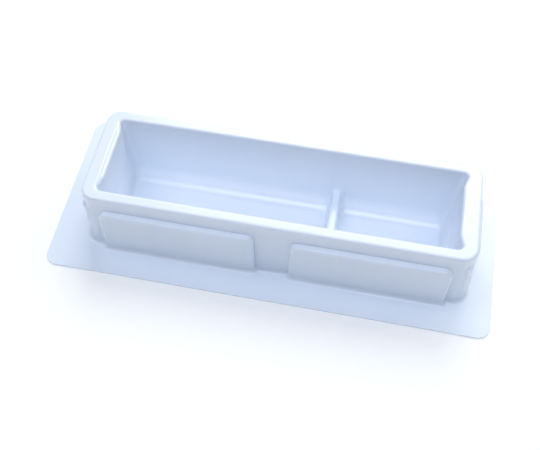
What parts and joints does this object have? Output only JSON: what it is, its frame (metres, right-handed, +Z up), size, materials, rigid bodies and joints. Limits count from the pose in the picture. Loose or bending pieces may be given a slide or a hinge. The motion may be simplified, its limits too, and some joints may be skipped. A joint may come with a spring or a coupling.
{
  "type": "reagent reservoir",
  "caption": "Shallow one-piece tray with a wide flat flange and a sunken basin, split by a low wall into a long and a short compartment for reagents.",
  "frame": {"origin": "middle of the flange, at its underside", "axes": "+X along the tray towards the short compartment, +Y across the tray, +Z up out of the basin"},
  "size_m": [0.152, 0.0624, 0.0263],
  "materials": {
    "white_polystyrene": "semi-gloss white formed sheet"
  },
  "bodies": {
    "root": {"reservoir_tray": "white_polystyrene"}
  },
  "joints": []
}
